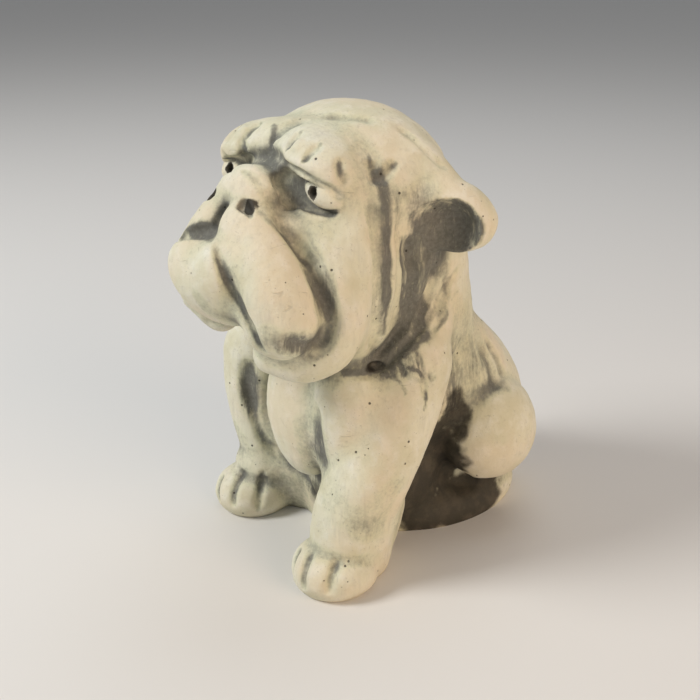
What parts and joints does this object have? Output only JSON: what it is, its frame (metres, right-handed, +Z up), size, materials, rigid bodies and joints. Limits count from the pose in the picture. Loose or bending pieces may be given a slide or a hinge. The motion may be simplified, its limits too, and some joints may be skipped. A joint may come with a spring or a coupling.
{
  "type": "bulldog garden statue",
  "caption": "Sitting bulldog statue cast in one piece, heavy folded face lifted, ears folded back, forelegs apart, flat underside.",
  "frame": {"origin": "middle of the statue's outline, on the ground", "axes": "+Z up, -Y the way the body faces, +X the dog's left"},
  "size_m": [0.1576, 0.227, 0.2497],
  "materials": {
    "cast_stone": "matte cream cast stone with a grey wash in the hollows"
  },
  "bodies": {
    "root": {"bulldog_statue": "cast_stone"}
  },
  "joints": []
}
